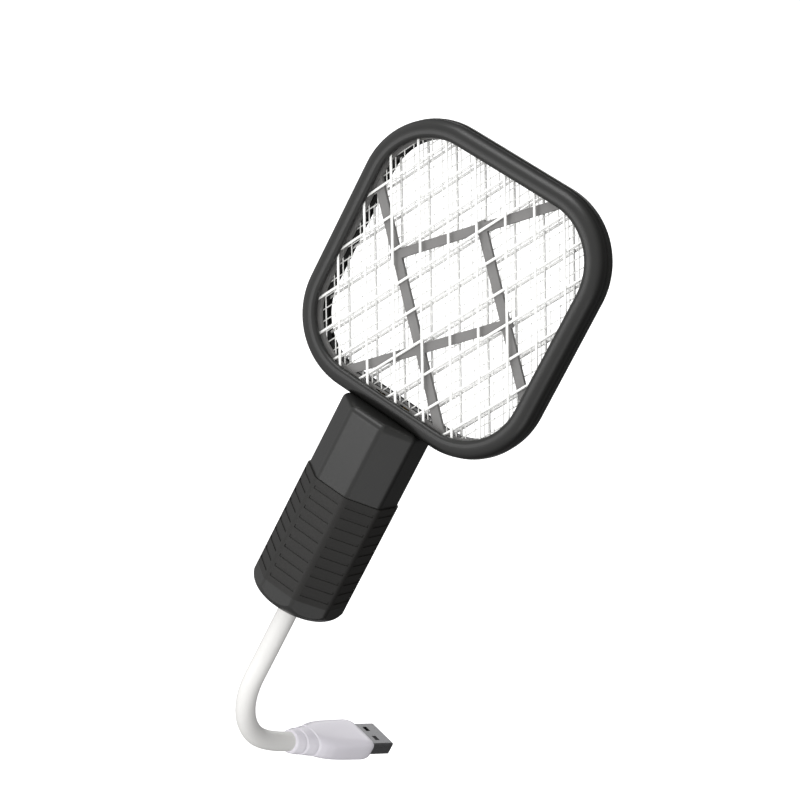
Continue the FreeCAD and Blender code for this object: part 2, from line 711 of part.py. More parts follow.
def storage_capacitor():
    """Return the boxed film capacitor that holds the charge."""
    low, high = STORAGE_Z
    body = box(-STORAGE_X, STORAGE_X, BOARD_Y - STORAGE_DEPTH, BOARD_Y, low, high)
    return body.makeFillet(STORAGE_ROUND, edges_along(body, Vec(0, 1, 0)))


def multiplier_capacitors():
    """Return the three disc capacitors of the voltage multiplier."""
    front = BOARD_Y - DISC_THICK
    discs = []
    for x in DISC_X:
        disc = crossbar(DISC_R, x, DISC_Z, front, BOARD_Y)
        discs.append(disc.makeFillet(DISC_ROUND, edges_at(disc, front, BARREL_FLATS)))
    return Part.makeCompound(discs)


def multiplier_diodes():
    """Return the four diodes of the voltage multiplier."""
    y = BOARD_Y - DIODE_R
    diodes = []
    for x in DIODE_X:
        diodes.append(rod(DIODE_R, Vec(x, y, DIODE_Z - DIODE_HALF), Vec(x, y, DIODE_Z + DIODE_HALF)))
    return Part.makeCompound(diodes)


def drive_transistor():
    """Return the oscillator's transistor in its D-shaped case."""
    top = BOARD_BACK + CASE_HEIGHT
    case = crossbar(CASE_R, CASE_X, CASE_Z, BOARD_BACK, top)
    left = CASE_X - CASE_R
    right = CASE_X + CASE_R
    return case.cut(box(left, right, BOARD_BACK - 1, top + 1, CASE_Z + CASE_FLAT, CASE_Z + CASE_R))


def bias_resistors():
    """Return the three small resistors on the back of the board."""
    y = BOARD_BACK + RESISTOR_R
    left, right = RESISTOR_X
    resistors = []
    for row in range(3):
        z = RESISTOR_Z + RESISTOR_PITCH * row
        resistors.append(rod(RESISTOR_R, Vec(left, y, z), Vec(right, y, z)))
    return Part.makeCompound(resistors)


def lead(points):
    """Return a thin lead: straight runs joined by tangent arcs."""
    return tube_along(points, LEAD_R)[0]


def net_leads(side):
    """Return the lead from the board to one terminal."""
    x = side * sum(TERMINAL_X) / 2
    level = -TERMINAL_THICK / 2 if side < 0 else LIVE_NET_Y - TERMINAL_THICK / 2
    start = Vec(x, SOLDER_Y, NET_LEAD_START)
    turn = Vec(x, NET_LEAD_TURN[0], NET_LEAD_TURN[1])
    end = Vec(x, level, TERMINAL_BOTTOM)
    return lead([start, turn, end])


def supply_leads():
    """Return the two leads from the cable to the board."""
    inner, outer = SUPPLY_X
    low, middle, high = SUPPLY_Z
    leads = []
    for side in (-1, 1):
        start = Vec(side * inner, 0, NECK_ROUTE[0][1])
        turn = Vec(side * inner, 0, low)
        bend = Vec(side * outer, SOLDER_Y, middle)
        end = Vec(side * outer, SOLDER_Y, high)
        leads.append(lead([start, turn, bend, end]))
    return Part.makeCompound(leads)


# ---- Neck and plug ----

def tube_along(points, radius):
    """Return a tube of straight runs and tangent arcs, its length and its arc radii."""
    edges = []
    radii = []
    start = points[0]
    for here, corner, there in zip(points, points[1:], points[2:]):
        back = here.sub(corner)
        ahead = there.sub(corner)
        shorter = min(back.Length, ahead.Length)
        turn = math.pi - back.getAngle(ahead)
        setback = TURN_SHARE * shorter
        radii.append(setback / math.tan(turn / 2))
        back.normalize()
        ahead.normalize()
        enter = corner.add(back.multiply(setback))
        leave = corner.add(ahead.multiply(setback))
        half_way = enter.add(leave).multiply(0.5)
        bisector = half_way.sub(corner)
        depth = radii[-1] / math.cos(turn / 2) - radii[-1]
        middle = corner.add(bisector.normalize().multiply(depth))
        edges.append(Part.LineSegment(start, enter).toShape())
        edges.append(Part.Arc(enter, middle, leave).toShape())
        start = leave
    edges.append(Part.LineSegment(start, points[-1]).toShape())
    path = Part.Wire(edges)
    section = Part.Wire(Part.makeCircle(radius, points[0], points[1].sub(points[0])))
    tube = path.makePipeShell([section], True, False)
    return tube, path.Length, radii


def neck_points():
    """Return the neck's route in space: it turns back, a little to the right."""
    side = math.radians(NECK_SIDE)
    points = []
    for reach, z in NECK_ROUTE:
        points.append(Vec(reach * math.sin(side), reach * math.cos(side), z))
    return points


def usb_cable():
    """Return the neck's tube and print its arcs, length and volume."""
    tube, length, radii = tube_along(neck_points(), CABLE_R)
    print("neck arcs:", ", ".join("%.1f" % r for r in radii), "mm")
    print("neck length: %.1f mm" % length)
    print("neck volume: %.1f of %.1f mm3" % (tube.Volume, math.pi * CABLE_R ** 2 * length))
    return tube


def cable_collar():
    """Return the collar crimped on the cable inside the cap."""
    top = CAP_TUBE_TOP + COLLAR_LENGTH
    ring = rod(COLLAR_R, Vec(0, 0, CAP_TUBE_TOP), Vec(0, 0, top))
    return ring.cut(rod(CABLE_R, Vec(0, 0, CAP_TUBE_TOP - 1), Vec(0, 0, top + 1)))


def on_neck_end(shape):
    """Move a plug piece, modelled along +X from the origin, to the neck's end."""
    points = neck_points()
    along = points[-1].sub(points[-2]).normalize()
    across = Vec(math.cos(math.radians(NECK_SIDE)), -math.sin(math.radians(NECK_SIDE)), 0)
    up = across.cross(along)
    turn = FreeCAD.Matrix()
    turn.A11, turn.A21, turn.A31 = along.x, along.y, along.z
    turn.A12, turn.A22, turn.A32 = -across.x, -across.y, -across.z
    turn.A13, turn.A23, turn.A33 = up.x, up.y, up.z
    moved = shape.copy()
    moved.Placement = FreeCAD.Placement(points[-1], FreeCAD.Rotation(turn))
    return moved


def round_block(x0, x1, width, thick, radius):
    """Return a block along +X with its long edges rounded."""
    block = box(x0, x1, -width / 2, width / 2, -thick / 2, thick / 2)
    return block.makeFillet(radius, edges_along(block, Vec(1, 0, 0)))


def usb_boot():
    """Return the moulded boot and its tapered, grooved strain relief."""
    low, high = RELIEF_R
    relief = Part.makeCone(low, high, RELIEF_LENGTH + 1, Vec(0, 0, 0), Vec(1, 0, 0))
    for x in RELIEF_GROOVES:
        groove_end = Vec(x + RELIEF_GROOVE, 0, 0)
        ring = rod(BOOT_WIDTH, Vec(x, 0, 0), groove_end)
        relief = relief.cut(ring.cut(rod(RELIEF_FLOOR, Vec(x, 0, 0), groove_end)))
    boot = round_block(BOOT_START, BOOT_END, BOOT_WIDTH, BOOT_THICK, BOOT_ROUND)
    rear = [e for e in boot.Edges if abs(e.BoundBox.XMax - BOOT_START) < 1e-4]
    boot = boot.makeFillet(BOOT_BACK_ROUND, rear)
    front = [e for e in boot.Edges if abs(e.BoundBox.XMin - BOOT_END) < 1e-4]
    boot = boot.makeFillet(BOOT_FRONT_ROUND, front)
    floor = BOOT_END - SHELL_INSIDE
    socket = round_block(floor, BOOT_END + 1, SHELL_WIDTH, SHELL_THICK, SHELL_ROUND)
    return boot.fuse(relief).cut(socket).removeSplitter()


def usb_shell():
    """Return the folded steel shell with its four latch windows."""
    start = BOOT_END - SHELL_INSIDE
    shell = round_block(start, SHELL_END, SHELL_WIDTH, SHELL_THICK, SHELL_ROUND)
    inner_width = SHELL_WIDTH - 2 * SHELL_WALL
    inner_thick = SHELL_THICK - 2 * SHELL_WALL
    room = round_block(start - 1, SHELL_END + 1, inner_width, inner_thick, SHELL_INNER_ROUND)
    shell = shell.cut(room)
    long, wide, spread, setback = WINDOW
    for side in (-1, 1):
        y = side * spread
        x = BOOT_END + setback
        shell = shell.cut(box(x, x + long, y - wide / 2, y + wide / 2, -SHELL_THICK, SHELL_THICK))
    return shell


def tongue_limits():
    """Return the lowest and highest side of the tongue inside the shell."""
    floor = -SHELL_THICK / 2 + SHELL_WALL
    return floor, floor + TONGUE_THICK


def usb_tongue():
    """Return the plastic tongue that carries the contacts."""
    low, high = tongue_limits()
    half = SHELL_WIDTH / 2 - SHELL_WALL - TONGUE_GAP
    start = BOOT_END - SHELL_INSIDE
    tongue = box(start, SHELL_END - TONGUE_BACK, -half, half, low, high)
    block = box(start, BOOT_END - TONGUE_BACK, -half, half, low, -low)
    tongue = tongue.fuse(block)
    for k in range(4):
        y = (k - 1.5) * CONTACT_PITCH
        half_groove = CONTACT_WIDTH / 2
        tongue = tongue.cut(box(BOOT_END, BOOT_END + CONTACT_LENGTH, y - half_groove,
                                y + half_groove, high - CONTACT_THICK, high + 1))
    return tongue.removeSplitter()


def usb_contacts():
    """Return the four gilt contact strips."""
    high = tongue_limits()[1]
    strips = []
    for k in range(4):
        y = (k - 1.5) * CONTACT_PITCH
        strips.append(box(BOOT_END, BOOT_END + CONTACT_LENGTH, y - CONTACT_WIDTH / 2,
                          y + CONTACT_WIDTH / 2, high - CONTACT_THICK, high))
    return Part.makeCompound(strips)


PIECES = {
    "head_front_frame": head_front_frame,
    "head_rear_frame": head_rear_frame,
    "frame_screws": frame_screws,
    "front_guard_net": lambda: guard_net(FRONT_NET_Y),
    "rib_spacer": rib_spacer,
    "high_voltage_net": high_voltage_net,
    "rear_spacer": rear_spacer,
    "rear_guard_net": lambda: guard_net(REAR_NET_Y),
    "guard_terminal": guard_terminal,
    "live_terminal": live_terminal,
    "guard_lead": lambda: net_leads(-1),
    "live_lead": lambda: net_leads(1),
    "handle_front_shell": handle_front_shell,
    "handle_rear_shell": handle_rear_shell,
    "shell_screws": shell_screws,
    "grip_sleeve": grip_sleeve,
    "end_cap": end_cap,
    "power_button": power_button,
    "switch_plunger": switch_plunger,
    "push_switch": push_switch,
    "circuit_board": circuit_board,
    "transformer_core": transformer_core,
    "transformer_coil": transformer_coil,
    "storage_capacitor": storage_capacitor,
    "multiplier_capacitors": multiplier_capacitors,
    "multiplier_diodes": multiplier_diodes,
    "drive_transistor": drive_transistor,
    "bias_resistors": bias_resistors,
    "supply_leads": supply_leads,
    "cable_collar": cable_collar,
    "usb_cable": usb_cable,
    "usb_boot": lambda: on_neck_end(usb_boot()),
    "usb_shell": lambda: on_neck_end(usb_shell()),
    "usb_tongue": lambda: on_neck_end(usb_tongue()),
    "usb_contacts": lambda: on_neck_end(usb_contacts()),
}

os.makedirs("parts", exist_ok=True)
for node, make in PIECES.items():
    make().exportStep("parts/" + node + ".step")
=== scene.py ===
import bmesh
import bpy
import math
from mathutils import Matrix, Vector


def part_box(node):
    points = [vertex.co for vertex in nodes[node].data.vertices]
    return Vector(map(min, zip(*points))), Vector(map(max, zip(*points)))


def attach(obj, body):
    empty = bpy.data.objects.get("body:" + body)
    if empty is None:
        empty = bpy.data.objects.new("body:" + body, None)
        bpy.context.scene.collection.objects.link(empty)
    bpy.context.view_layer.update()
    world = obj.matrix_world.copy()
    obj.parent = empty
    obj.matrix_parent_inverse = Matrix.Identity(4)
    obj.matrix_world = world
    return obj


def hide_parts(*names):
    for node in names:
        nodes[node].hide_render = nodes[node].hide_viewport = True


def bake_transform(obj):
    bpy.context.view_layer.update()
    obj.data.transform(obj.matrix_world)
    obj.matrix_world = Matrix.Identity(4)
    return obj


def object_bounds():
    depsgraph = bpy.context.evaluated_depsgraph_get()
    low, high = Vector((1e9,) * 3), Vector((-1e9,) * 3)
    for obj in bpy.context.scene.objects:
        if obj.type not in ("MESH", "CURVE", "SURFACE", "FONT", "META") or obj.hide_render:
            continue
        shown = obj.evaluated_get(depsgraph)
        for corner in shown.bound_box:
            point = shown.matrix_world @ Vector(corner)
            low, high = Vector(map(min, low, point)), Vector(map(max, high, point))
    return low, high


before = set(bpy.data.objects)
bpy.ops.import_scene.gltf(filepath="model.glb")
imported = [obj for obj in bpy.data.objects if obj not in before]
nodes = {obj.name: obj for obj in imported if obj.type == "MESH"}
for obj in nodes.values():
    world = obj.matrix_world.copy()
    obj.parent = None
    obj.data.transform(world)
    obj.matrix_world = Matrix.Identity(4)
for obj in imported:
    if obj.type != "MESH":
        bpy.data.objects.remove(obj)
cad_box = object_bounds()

MM = 0.001

# ---- Camera ----
# A long lens stands about 0.7 m away, to the right of the net's front and above it.
# The camera is rolled, so the handle leans to the left.

LENS_MM = 105.4
CAMERA_DISTANCE = 707.9 * MM
CAMERA_TARGET = Vector((1.1, 0.0, 49.0)) * MM
CAMERA_AZIMUTH = math.radians(22.82)
CAMERA_ELEVATION = math.radians(16.27)
CAMERA_ROLL = math.radians(27.17)

camera = bpy.data.objects.new("camera", bpy.data.cameras.new("camera"))
bpy.context.scene.collection.objects.link(camera)
bpy.context.scene.camera = camera
camera.data.lens = LENS_MM
aim = Matrix.Rotation(CAMERA_AZIMUTH, 4, "Z")
aim = aim @ Matrix.Rotation(math.pi / 2 - CAMERA_ELEVATION, 4, "X")
aim = aim @ Matrix.Rotation(CAMERA_ROLL, 4, "Z")
backwards = aim.col[2].to_3d()
camera.matrix_world = Matrix.Translation(CAMERA_TARGET + backwards * CAMERA_DISTANCE) @ aim

# ---- Neck cable ----
# A semi-rigid flexible neck: copper supply leads and a bendable wire inside a smooth
# white PVC jacket. It is crimped in the handle's cap and moulded into the plug's boot.

NECK_DIAMETER = 6.5 * MM
NECK_SIDE = math.radians(15.5)
# Reach away from the handle's axis and height of each point, in mm.
NECK_ROUTE = (
    (0.0, -13.0), (0.0, -45.9), (0.0, -60.1),
    (7.1, -72.4), (19.4, -79.5), (31.6, -79.5),
)
NECK_SIDES = 32
NECK_STEPS = 20

neck_way = Vector((math.sin(NECK_SIDE), math.cos(NECK_SIDE), 0.0))
neck_across = Vector((math.cos(NECK_SIDE), -math.sin(NECK_SIDE), 0.0))


def link(name, data):
    """Make an object at the origin that shows this data."""
    made = bpy.data.objects.new(name, data)
    bpy.context.scene.collection.objects.link(made)
    return made


def on_route(reach, z):
    """Return the place of a route point, given as its reach and height in mm."""
    return (neck_way * reach + Vector((0, 0, z))) * MM


def skin(name, rings, sharp=40):
    """Make a closed mesh from rings of points, with a face at each end."""
    mesh = bmesh.new()
    loops = [[mesh.verts.new(point) for point in ring] for ring in rings]
    for one, other in zip(loops, loops[1:]):
        for k in range(len(one)):
            j = (k + 1) % len(one)
            mesh.faces.new((one[k], one[j], other[j], other[k]))
    mesh.faces.new(reversed(loops[0]))
    mesh.faces.new(loops[-1])
    bmesh.ops.recalc_face_normals(mesh, faces=mesh.faces)
    if mesh.calc_volume(signed=True) < 0:
        bmesh.ops.reverse_faces(mesh, faces=mesh.faces)
    data = bpy.data.meshes.new(name)
    mesh.to_mesh(data)
    mesh.free()
    data.shade_smooth()
    data.set_sharp_from_angle(angle=math.radians(sharp))
    return link(name, data)


def linear(code):
    """Turn an sRGB hex colour into linear RGBA."""
    channels = []
    for k in (1, 3, 5):
        value = int(code[k:k + 2], 16) / 255
        channels.append(value / 12.92 if value <= 0.04045 else ((value + 0.055) / 1.055) ** 2.4)
    return (*channels, 1.0)


def add_node(tree, kind, settings=None, sockets=None):
    """Add a node; a socket takes a number, a colour or another node's output."""
    made = tree.nodes.new(kind)
    for name, value in (settings or {}).items():
        setattr(made, name, value)
    for name, value in (sockets or {}).items():
        if isinstance(value, bpy.types.Node):
            value = value.outputs[0]
        if isinstance(value, bpy.types.NodeSocket):
            tree.links.new(value, made.inputs[name])
        else:
            made.inputs[name].default_value = value
    return made


def finish_of(name, shader):
    """Start a material with these fixed shader values; return it, its tree and its shader."""
    material = bpy.data.materials.new(name)
    material.use_nodes = True
    tree = material.node_tree
    principled = tree.nodes["Principled BSDF"]
    for socket, value in shader.items():
        principled.inputs[socket].default_value = value
    return material, tree, principled


def pattern_place(tree, stretch=(1, 1, 1)):
    """Return the place on the piece in mm, stretched along its axes."""
    place = add_node(tree, "ShaderNodeTexCoord").outputs["Object"]
    scale = [value / MM for value in stretch]
    return add_node(tree, "ShaderNodeMapping", None, {"Vector": place, "Scale": scale}).outputs[0]


# The clouds of tone are this many mm across, and the noise mostly lies in this range.
CLOUD_SIZE = 9.1
NOISE_LOW, NOISE_HIGH = 0.3, 0.7
GRAIN_BUMP = 0.6


def moulded(name, dark, light, roughness, grain, depth, shader=None, uneven=0.05):
    """Moulded plastic: a faint cloudy tone, uneven gloss and a fine grain, sizes in mm."""
    material, tree, principled = finish_of(name, shader or {})
    place = pattern_place(tree)
    cloud = add_node(tree, "ShaderNodeTexNoise", None,
                     {"Vector": place, "Scale": 1 / CLOUD_SIZE, "Detail": 3.0})
    tone = add_node(tree, "ShaderNodeMix", {"data_type": "RGBA"},
                    {"Factor": cloud, "A": linear(dark), "B": linear(light)})
    tree.links.new(tone.outputs["Result"], principled.inputs["Base Color"])
    speck = add_node(tree, "ShaderNodeTexNoise", None,
                     {"Vector": place, "Scale": 1 / grain, "Detail": 2.0})
    gloss = add_node(tree, "ShaderNodeMapRange", None,
                     {"Value": speck, "From Min": NOISE_LOW, "From Max": NOISE_HIGH,
                      "To Min": roughness - uneven, "To Max": roughness + uneven})
    tree.links.new(gloss.outputs[0], principled.inputs["Roughness"])
    if depth > 0:
        bump = add_node(tree, "ShaderNodeBump", None,
                        {"Height": speck, "Distance": depth * MM, "Strength": GRAIN_BUMP})
        tree.links.new(bump.outputs[0], principled.inputs["Normal"])
    return material


def dress(piece, material):
    """Give every slot of a CAD node this material."""
    for slot in nodes[piece].material_slots:
        slot.material = material


# Smooth extruded PVC: opaque, slightly warm white with a soft wide gloss.
white_pvc_jacket = moulded("extruded_white_pvc", "#d6d5d3", "#dcdbd9", 0.38, 0.5, 0.0,
                           uneven=0.01)

line_data = bpy.data.curves.new("neck_line", "CURVE")
line_data.dimensions = "3D"
line_data.resolution_u = NECK_STEPS
spline = line_data.splines.new("NURBS")
spline.points.add(len(NECK_ROUTE) - 1)
for control, (reach, z) in zip(spline.points, NECK_ROUTE):
    control.co = (*on_route(reach, z), 1.0)
spline.order_u = 3
spline.use_endpoint_u = True
neck_line = link("neck_line", line_data)
depsgraph = bpy.context.evaluated_depsgraph_get()
line_mesh = bpy.data.meshes.new_from_object(neck_line.evaluated_get(depsgraph))
neck_path = [vertex.co.copy() for vertex in line_mesh.vertices]
bpy.data.objects.remove(neck_line)

neck_rings = []
for k, point in enumerate(neck_path):
    ahead = neck_path[min(k + 1, len(neck_path) - 1)] - neck_path[max(k - 1, 0)]
    inward = neck_across.cross(ahead.normalized())
    ring = []
    for side in range(NECK_SIDES):
        angle = 2 * math.pi * side / NECK_SIDES
        reach = neck_across * math.cos(angle) + inward * math.sin(angle)
        ring.append(point + reach * NECK_DIAMETER / 2)
    neck_rings.append(ring)
neck = skin("neck_cable", neck_rings)
neck.data.materials.append(white_pvc_jacket)
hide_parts("usb_cable")

# ---- Plug boot ----
# The boot is white PVC, moulded in one shot over the cable's end and the plug's shell.
# Two ring grooves let its short, tapered tail bend; the body is a flat, round-edged block.

BOOT_SIDES = 64
BOOT_ROUND = 2.2
BOOT_SQUARE = 5.5
# Distance from the start of the tail, half width, half thickness and squareness.
BOOT_STATIONS = (
    (0.0, 3.3, 3.3, BOOT_ROUND),
    (0.5, 3.9, 3.8, BOOT_ROUND),
    (3.3, 4.7, 4.0, BOOT_ROUND),
    (3.6, 4.4, 3.7, BOOT_ROUND),
    (4.4, 4.5, 3.7, BOOT_ROUND),
    (4.7, 4.9, 4.05, BOOT_ROUND),
    (8.1, 5.8, 4.1, BOOT_ROUND),
    (8.4, 5.5, 3.8, BOOT_ROUND),
    (9.2, 5.6, 3.8, 2.3),
    (9.5, 6.0, 4.05, 2.4),
    (12.0, 6.9, 4.0, 2.8),
    (15.0, 7.5, 3.9, 3.4),
    (20.0, 7.8, 3.8, 4.2),
    (31.0, 7.8, 3.75, BOOT_SQUARE),
    (33.0, 7.6, 3.6, BOOT_SQUARE),
    (34.4, 7.2, 3.25, BOOT_SQUARE),
    (35.0, 6.8, 2.95, BOOT_SQUARE),
)
BOOT_STEPS = 5
SOCKET = (35.0, 6.15, 2.4, 12.0)
SOCKET_FLOOR = (33.0, 6.15, 2.4, 12.0)

# Moulded PVC: a cool, slightly grey white with a smooth, glossy skin.
white_pvc_boot = moulded("moulded_white_pvc", "#d5d2d9", "#d8d5dc", 0.28, 4.0, 0.0,
                         uneven=0.0)


def boot_ring(distance, half_width, half_thick, squareness):
    """Return one rounded section of the boot, from a circle to a round-edged block."""
    centre = on_route(*NECK_ROUTE[-1]) + neck_way * distance * MM
    ring = []
    for side in range(BOOT_SIDES):
        angle = 2 * math.pi * side / BOOT_SIDES
        c, s = math.cos(angle), math.sin(angle)
        power = 2 / squareness
        x = math.copysign(abs(c) ** power, c) * half_width
        z = math.copysign(abs(s) ** power, s) * half_thick
        ring.append(centre + (neck_across * x + Vector((0, 0, z))) * MM)
    return ring


boot_rings = []
for here, there in zip(BOOT_STATIONS, BOOT_STATIONS[1:]):
    steps = BOOT_STEPS if there[0] - here[0] > 1.0 else 1
    for step in range(steps):
        share = step / steps
        boot_rings.append(boot_ring(*(a + (b - a) * share for a, b in zip(here, there))))
boot_rings.append(boot_ring(*BOOT_STATIONS[-1]))
boot_rings.append(boot_ring(*SOCKET))
boot_rings.append(boot_ring(*SOCKET_FLOOR))
boot = skin("plug_boot", boot_rings)
boot.data.materials.append(white_pvc_boot)
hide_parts("usb_boot")
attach(boot, "plug")

# ---- Plug metal and contacts ----
# The shell is folded from nickel-plated steel strip. A black moulded tongue inside it
# carries four stamped contacts with a thin gold plating.


BRUSH_UNEVEN = 0.06
BRUSH_BUMP = 0.5
BRUSH_DEPTH = 0.004 * MM


def metal(name, dark, light, roughness, brush, stretch, metallic=1.0):
    """Plated metal: tone and gloss drawn out along the way it was rolled or brushed."""
    material, tree, principled = finish_of(name, {"Metallic": metallic})
    place = pattern_place(tree, stretch)
    streak = add_node(tree, "ShaderNodeTexNoise", None,
                      {"Vector": place, "Scale": 1 / brush, "Detail": 3.0})
    tone = add_node(tree, "ShaderNodeMix", {"data_type": "RGBA"},
                    {"Factor": streak, "A": linear(dark), "B": linear(light)})
    tree.links.new(tone.outputs["Result"], principled.inputs["Base Color"])
    gloss = add_node(tree, "ShaderNodeMapRange", None,
                     {"Value": streak, "From Min": NOISE_LOW, "From Max": NOISE_HIGH,
                      "To Min": roughness - BRUSH_UNEVEN, "To Max": roughness + BRUSH_UNEVEN})
    tree.links.new(gloss.outputs[0], principled.inputs["Roughness"])
    bump = add_node(tree, "ShaderNodeBump", None,
                    {"Height": streak, "Distance": BRUSH_DEPTH, "Strength": BRUSH_BUMP})
    tree.links.new(bump.outputs[0], principled.inputs["Normal"])
    return material


# Rolled steel strip under nickel: grey, with fine lines along the strip.
nickel_plate = metal("nickel_plated_steel", "#8c8c8e", "#a4a4a6", 0.32, 0.25, (1, 0.12, 1))
# Glass-filled nylon: black and slightly dull.
black_nylon = moulded("glass_filled_black_nylon", "#0c0c0c", "#141414", 0.5, 0.15, 0.01)
# Gold flash over phosphor bronze: warm and bright, with lines along each stamped strip.
gold_flash = metal("gold_flash_contacts", "#c89a45", "#e0b460", 0.25, 0.3, (1, 0.1, 1))

dress("usb_shell", nickel_plate)
dress("usb_tongue", black_nylon)
dress("usb_contacts", gold_flash)

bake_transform(neck)

# ---- Head frame ----
# Two moulded ABS halves screwed together round the nets. Their outer corners are well
# rounded, and a fine bead shows where they meet.

# Moulded ABS in charcoal: a fine spark-eroded texture and a satin gloss.
charcoal_abs = moulded("satin_charcoal_abs", "#151514", "#1a1a19", 0.34, 0.3, 0.004,
                       {"Specular IOR Level": 0.37})
dress("head_front_frame", charcoal_abs)
dress("head_rear_frame", charcoal_abs)

# ---- Nets ----
# Each net is drawn steel wire in two slanting layers, welded where they cross and
# zinc plated. The guards are coarse; the live net between them is fine.

NET_ANGLE = math.radians(30.8)
GUARD_PITCH = 10.9 * MM
LIVE_PITCH = GUARD_PITCH / 3
GUARD_WIRE = 0.85 * MM
LIVE_WIRE = 0.4 * MM
GUARD_SINK = 0.15 * MM
LIVE_SINK = 0.04 * MM
GUARD_WIRES = 15
LIVE_WIRES = 45
NET_CORNER = 26.0 * MM
NET_REACH = 75.0 * MM
NET_RISE = 0.9 * MM
WIRE_WAVE = 0.10 * MM
WAVE_SIZE = 16.667 * MM
WIRE_SIDES = 8
WIRE_POINTS = 9
TRIM_STEP = 0.25 * MM
SHORTEST_WIRE = 2.0 * MM


def wire_net_tree():
    """Build the tree that lays two slanting layers of wire and trims them to the frame."""
    tree = bpy.data.node_groups.new("welded_wire_net", "GeometryNodeTree")
    face = tree.interface
    inputs = ("Pitch", "Wire", "Lean", "Depth", "Layer Gap", "Half Width", "Half Height",
              "Corner", "Middle Height", "Net Rise", "Wires", "Wave")
    for name in inputs:
        kind = "NodeSocketInt" if name == "Wires" else "NodeSocketFloat"
        face.new_socket(name, in_out="INPUT", socket_type=kind)
    face.new_socket("Finish", in_out="INPUT", socket_type="NodeSocketMaterial")
    face.new_socket("Net", in_out="OUTPUT", socket_type="NodeSocketGeometry")
    given = tree.nodes.new("NodeGroupInput").outputs

    def maths(operation, first, second=0.0):
        made = add_node(tree, "ShaderNodeMath", {"operation": operation}, {0: first, 1: second})
        return made.outputs[0]

    def vector(x=0.0, y=0.0, z=0.0):
        return add_node(tree, "ShaderNodeCombineXYZ", None, {"X": x, "Y": y, "Z": z}).outputs[0]

    # A wire is kept where it lies inside the net's rounded outline.
    position = add_node(tree, "GeometryNodeInputPosition")
    place = add_node(tree, "ShaderNodeSeparateXYZ", None, {0: position})
    across = maths("ABSOLUTE", place.outputs["X"])
    height = maths("ABSOLUTE", maths("SUBTRACT", place.outputs["Z"], given["Middle Height"]))
    past_x = maths("SUBTRACT", across, maths("SUBTRACT", given["Half Width"], given["Corner"]))
    past_z = maths("SUBTRACT", height, maths("SUBTRACT", given["Half Height"], given["Corner"]))
    round_x = maths("POWER", maths("MAXIMUM", past_x, 0.0), 2.0)
    round_z = maths("POWER", maths("MAXIMUM", past_z, 0.0), 2.0)
    distance = maths("ADD", maths("SQRT", maths("ADD", round_x, round_z)),
                     maths("MINIMUM", maths("MAXIMUM", past_x, past_z), 0.0))
    outside = maths("GREATER_THAN", distance, given["Corner"])

    # Both layers share one faint waviness, so that the welds stay together.
    wave = add_node(tree, "ShaderNodeTexNoise", {"noise_dimensions": "3D"},
                    {"Scale": 1 / WAVE_SIZE, "Detail": 1.0})
    waviness = add_node(tree, "ShaderNodeVectorMath", {"operation": "SUBTRACT"},
                        {0: wave.outputs["Color"], 1: (0.5, 0.5, 0.5)})
    shift = add_node(tree, "ShaderNodeVectorMath", {"operation": "MULTIPLY"},
                     {0: waviness, 1: vector(given["Wave"], 0.0, given["Wave"])})

    crossing = maths("ADD", given["Middle Height"], given["Net Rise"])
    span = maths("MULTIPLY", maths("SUBTRACT", given["Wires"], 1.0), given["Pitch"])
    first = maths("MULTIPLY", span, -0.5)
    long_wire = add_node(tree, "GeometryNodeCurvePrimitiveLine", None,
                         {"Start": (0, 0, -NET_REACH), "End": (0, 0, NET_REACH)})
    section = add_node(tree, "GeometryNodeCurvePrimitiveCircle", None,
                       {"Resolution": WIRE_SIDES, "Radius": maths("MULTIPLY", given["Wire"], 0.5)})
    joined = add_node(tree, "GeometryNodeJoinGeometry")
    for side in (-1, 1):
        depth = given["Depth"]
        if side > 0:
            depth = maths("ADD", depth, given["Layer Gap"])
        row = add_node(tree, "GeometryNodeMeshLine", None,
                       {"Count": given["Wires"], "Offset": vector(given["Pitch"]),
                        "Start Location": vector(first, depth, crossing)})
        placed = add_node(tree, "GeometryNodeInstanceOnPoints", None,
                          {"Points": row, "Instance": long_wire,
                           "Rotation": vector(0.0, maths("MULTIPLY", given["Lean"], side))})
        wires = add_node(tree, "GeometryNodeRealizeInstances", None, {0: placed})
        fine = add_node(tree, "GeometryNodeResampleCurve", {"mode": "LENGTH"},
                        {"Curve": wires, "Length": TRIM_STEP})
        trimmed = add_node(tree, "GeometryNodeDeleteGeometry", None,
                           {"Geometry": fine, "Selection": outside})
        length = add_node(tree, "GeometryNodeSplineLength").outputs["Length"]
        kept = add_node(tree, "GeometryNodeDeleteGeometry", {"domain": "CURVE"},
                        {"Geometry": trimmed,
                         "Selection": maths("LESS_THAN", length, SHORTEST_WIRE)})
        coarse = add_node(tree, "GeometryNodeResampleCurve", {"mode": "COUNT"},
                          {"Curve": kept, "Count": WIRE_POINTS})
        waved = add_node(tree, "GeometryNodeSetPosition", None,
                         {"Geometry": coarse, "Offset": shift})
        solid = add_node(tree, "GeometryNodeCurveToMesh", None,
                         {"Curve": waved, "Profile Curve": section, "Fill Caps": True})
        tree.links.new(solid.outputs[0], joined.inputs[0])
    real = add_node(tree, "GeometryNodeRealizeInstances", None, {0: joined})
    smooth = add_node(tree, "GeometryNodeSetShadeSmooth", None, {0: real})
    finished = add_node(tree, "GeometryNodeSetMaterial", None,
                        {"Geometry": smooth, "Material": given["Finish"]})
    tree.links.new(finished.outputs[0], add_node(tree, "NodeGroupOutput").inputs[0])
    return tree


